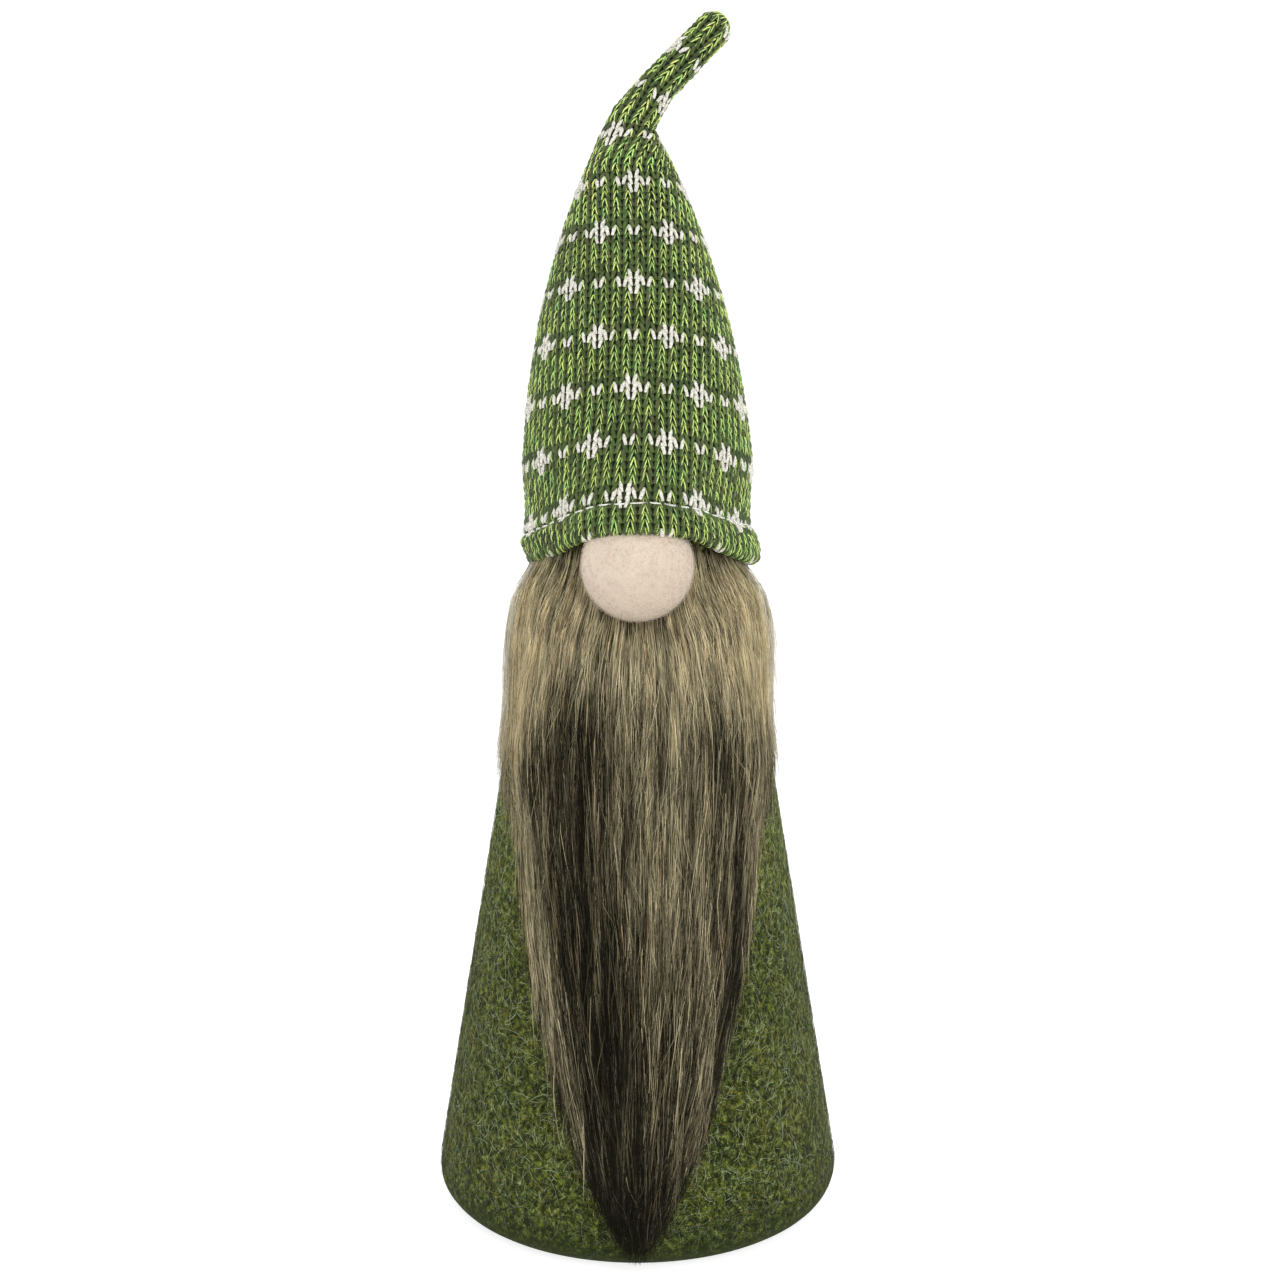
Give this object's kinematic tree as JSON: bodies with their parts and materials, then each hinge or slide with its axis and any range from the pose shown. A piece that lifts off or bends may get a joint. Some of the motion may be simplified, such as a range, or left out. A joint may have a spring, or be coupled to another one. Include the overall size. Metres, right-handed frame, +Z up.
{
  "type": "tomte gnome figurine",
  "caption": "Free-standing tall gnome figure: felt cone body on a weighted flat base, sewn ball nose, free-hanging fur beard and stuffed knit hat with a wire-bent tail.",
  "frame": {"origin": "centre of the flat base, on the surface it stands on", "axes": "+Z up along the body's axis, face and beard towards -Y, +X to the right as the face is seen"},
  "size_m": [0.1756, 0.1824, 0.5076],
  "materials": {
    "felt": "dense heathered green wool felt",
    "board": "plain fibreboard",
    "card": "plain grey-brown card",
    "ballast": "cotton bag of pellets",
    "filling": "loose white polyester fibre",
    "fleece": "brushed skin-tone fleece",
    "backing": "knitted fur backing cloth",
    "pile": "long straight faux fur, light tan at the root and dark brown at the tip",
    "knit": "fine stocking-stitch knit, dark and bright green with white flecked motifs",
    "white_thread": "plied cotton thread",
    "green_thread": "plied green thread",
    "wire": "soft annealed craft wire"
  },
  "bodies": {
    "figure": {"body_felt": "felt", "base_felt": "felt", "base_board": "board", "ballast_bag": "ballast", "body_card": "card", "body_filling": "filling", "body_seam_thread": "green_thread", "nose_cover": "fleece", "nose_filling": "filling", "nose_tie_thread": "white_thread", "beard_backing_top": "backing", "beard_pile_top": "pile", "hat_crown": "knit", "hat_hem": "knit", "hem_thread": "white_thread", "hat_seam_thread": "green_thread", "hat_filling": "filling", "hat_wire": "wire"},
    "beard": {"beard_backing_drop": "backing", "beard_pile_drop": "pile"},
    "tail_lower": {"tail_sleeve_lower": "knit", "tail_filling_lower": "filling", "tail_wire_lower": "wire"},
    "tail_middle": {"tail_sleeve_middle": "knit", "tail_filling_middle": "filling", "tail_wire_middle": "wire"},
    "tail_tip": {"tail_sleeve_tip": "knit", "tail_filling_tip": "filling", "tail_wire_tip": "wire"}
  },
  "joints": [
    {"name": "beard_lift", "type": "hinge", "parent": "figure", "child": "beard", "pos_m": [0, -0.0512, 0.2515], "axis": [-1, 0, 0], "range_deg": [0, 60]},
    {"name": "tail_sway", "type": "hinge", "parent": "figure", "child": "tail_lower", "pos_m": [-0.0024, 0, 0.4632], "axis": [0, 1, 0], "range_deg": [-55, 35]},
    {"name": "tail_nod", "type": "hinge", "parent": "tail_lower", "child": "tail_middle", "pos_m": [0.00771, 0, 0.47712], "axis": [0.7604, 0, -0.6494], "range_deg": [-40, 40]},
    {"name": "tail_curl", "type": "hinge", "parent": "tail_middle", "child": "tail_tip", "pos_m": [0.01987, 0, 0.48928], "axis": [0, 1, 0], "range_deg": [-45, 50]}
  ]
}
